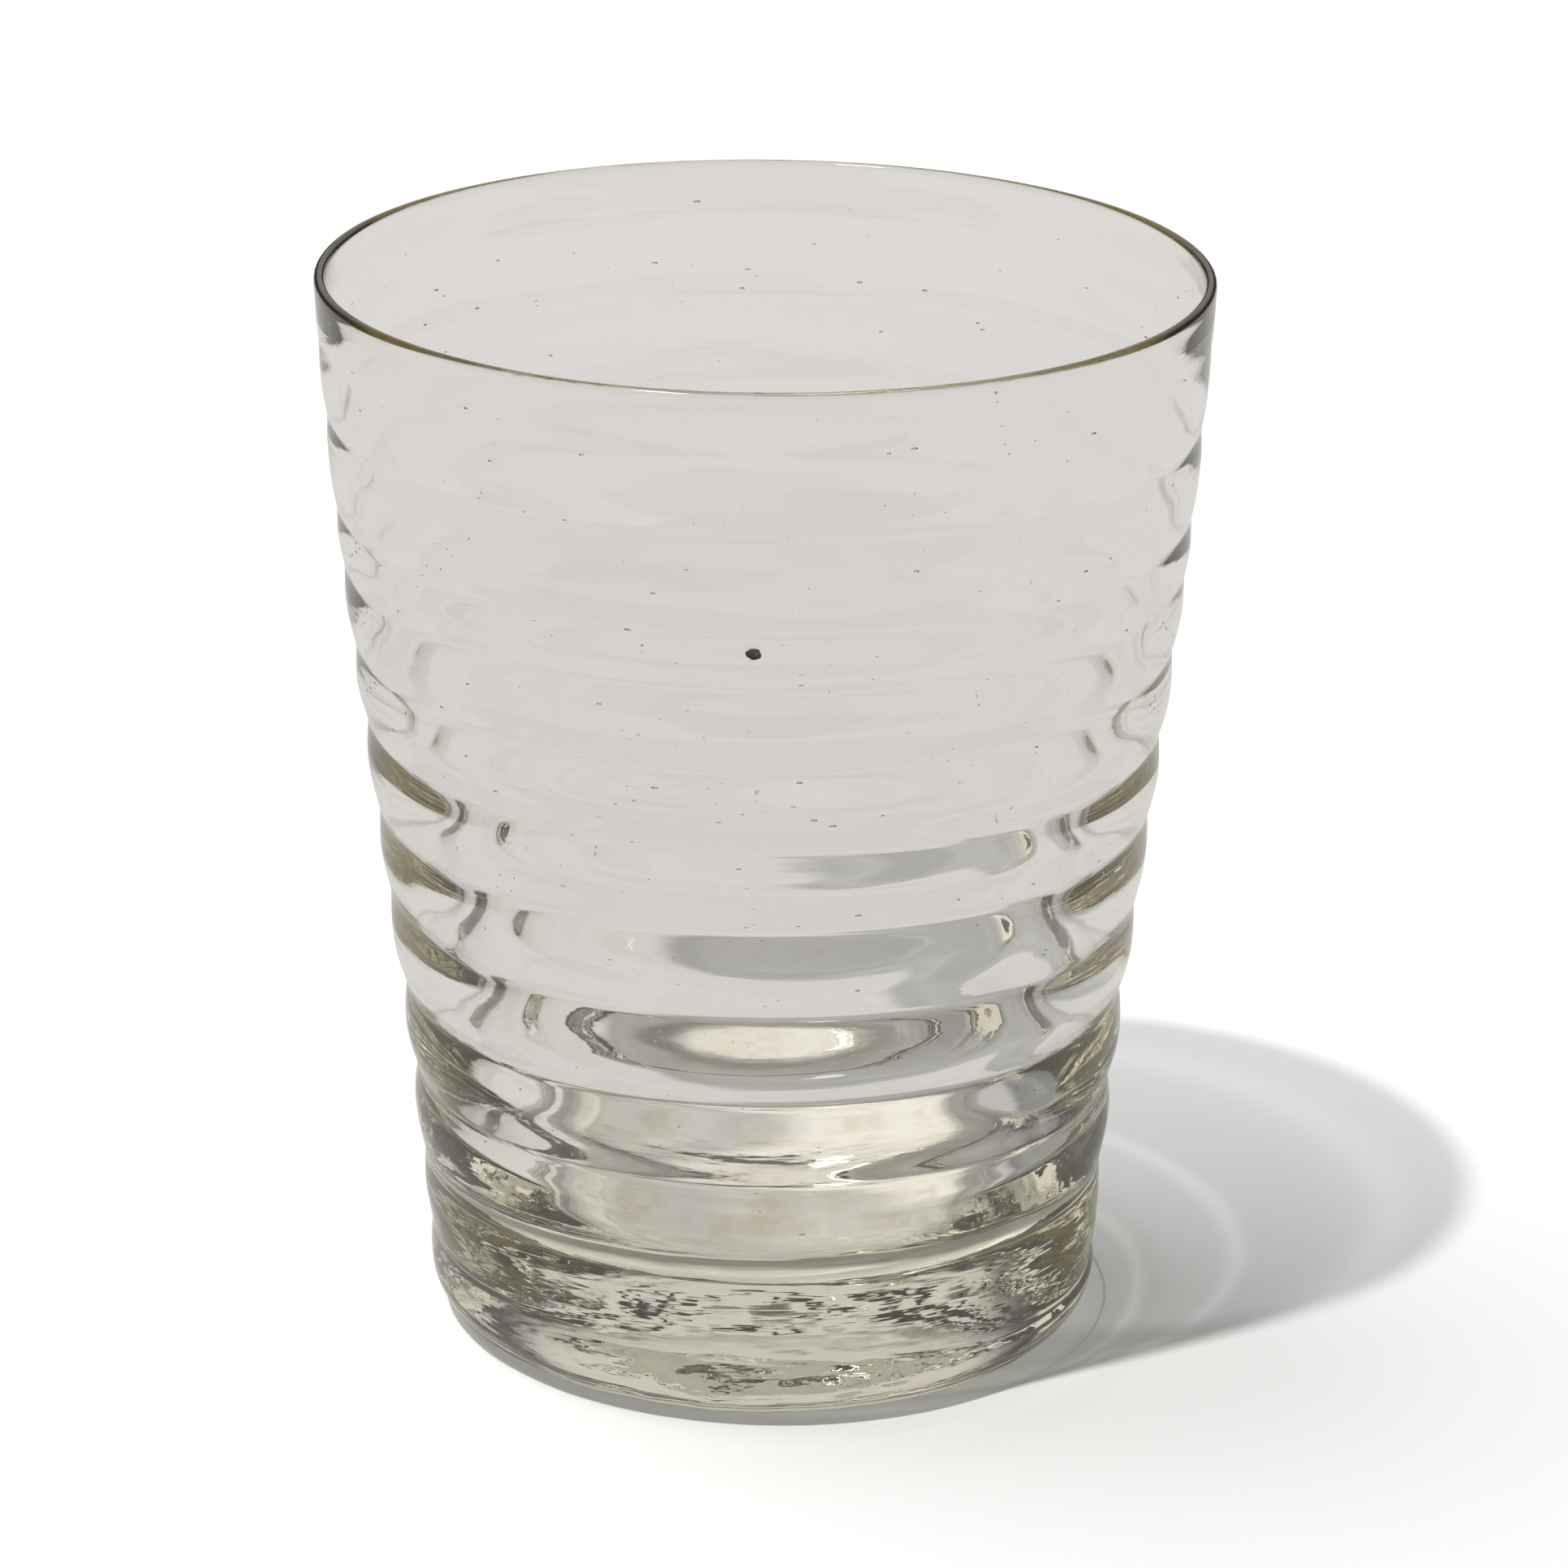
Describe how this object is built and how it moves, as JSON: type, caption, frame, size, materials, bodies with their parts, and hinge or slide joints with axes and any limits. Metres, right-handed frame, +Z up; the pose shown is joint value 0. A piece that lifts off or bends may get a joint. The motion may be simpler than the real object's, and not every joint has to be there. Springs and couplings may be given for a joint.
{
  "type": "beer glass",
  "caption": "Clear hand-made beer tumbler that widens upward, with soft horizontal rings in its wall, a plain lip band, a fire-polished rim and a thick solid base.",
  "frame": {"origin": "centre of the standing ring, on the surface that the glass stands on", "axes": "+Z up along the glass's axis, -Y towards the side with the stone"},
  "size_m": [0.0856, 0.0856, 0.1067],
  "materials": {
    "clear_glass": "clear, fire polished, with seeds and soft rings",
    "furnace_stone": "dull, dark brown"
  },
  "bodies": {
    "root": {"glass_body": "clear_glass", "stone_inclusion": "furnace_stone"}
  },
  "joints": []
}
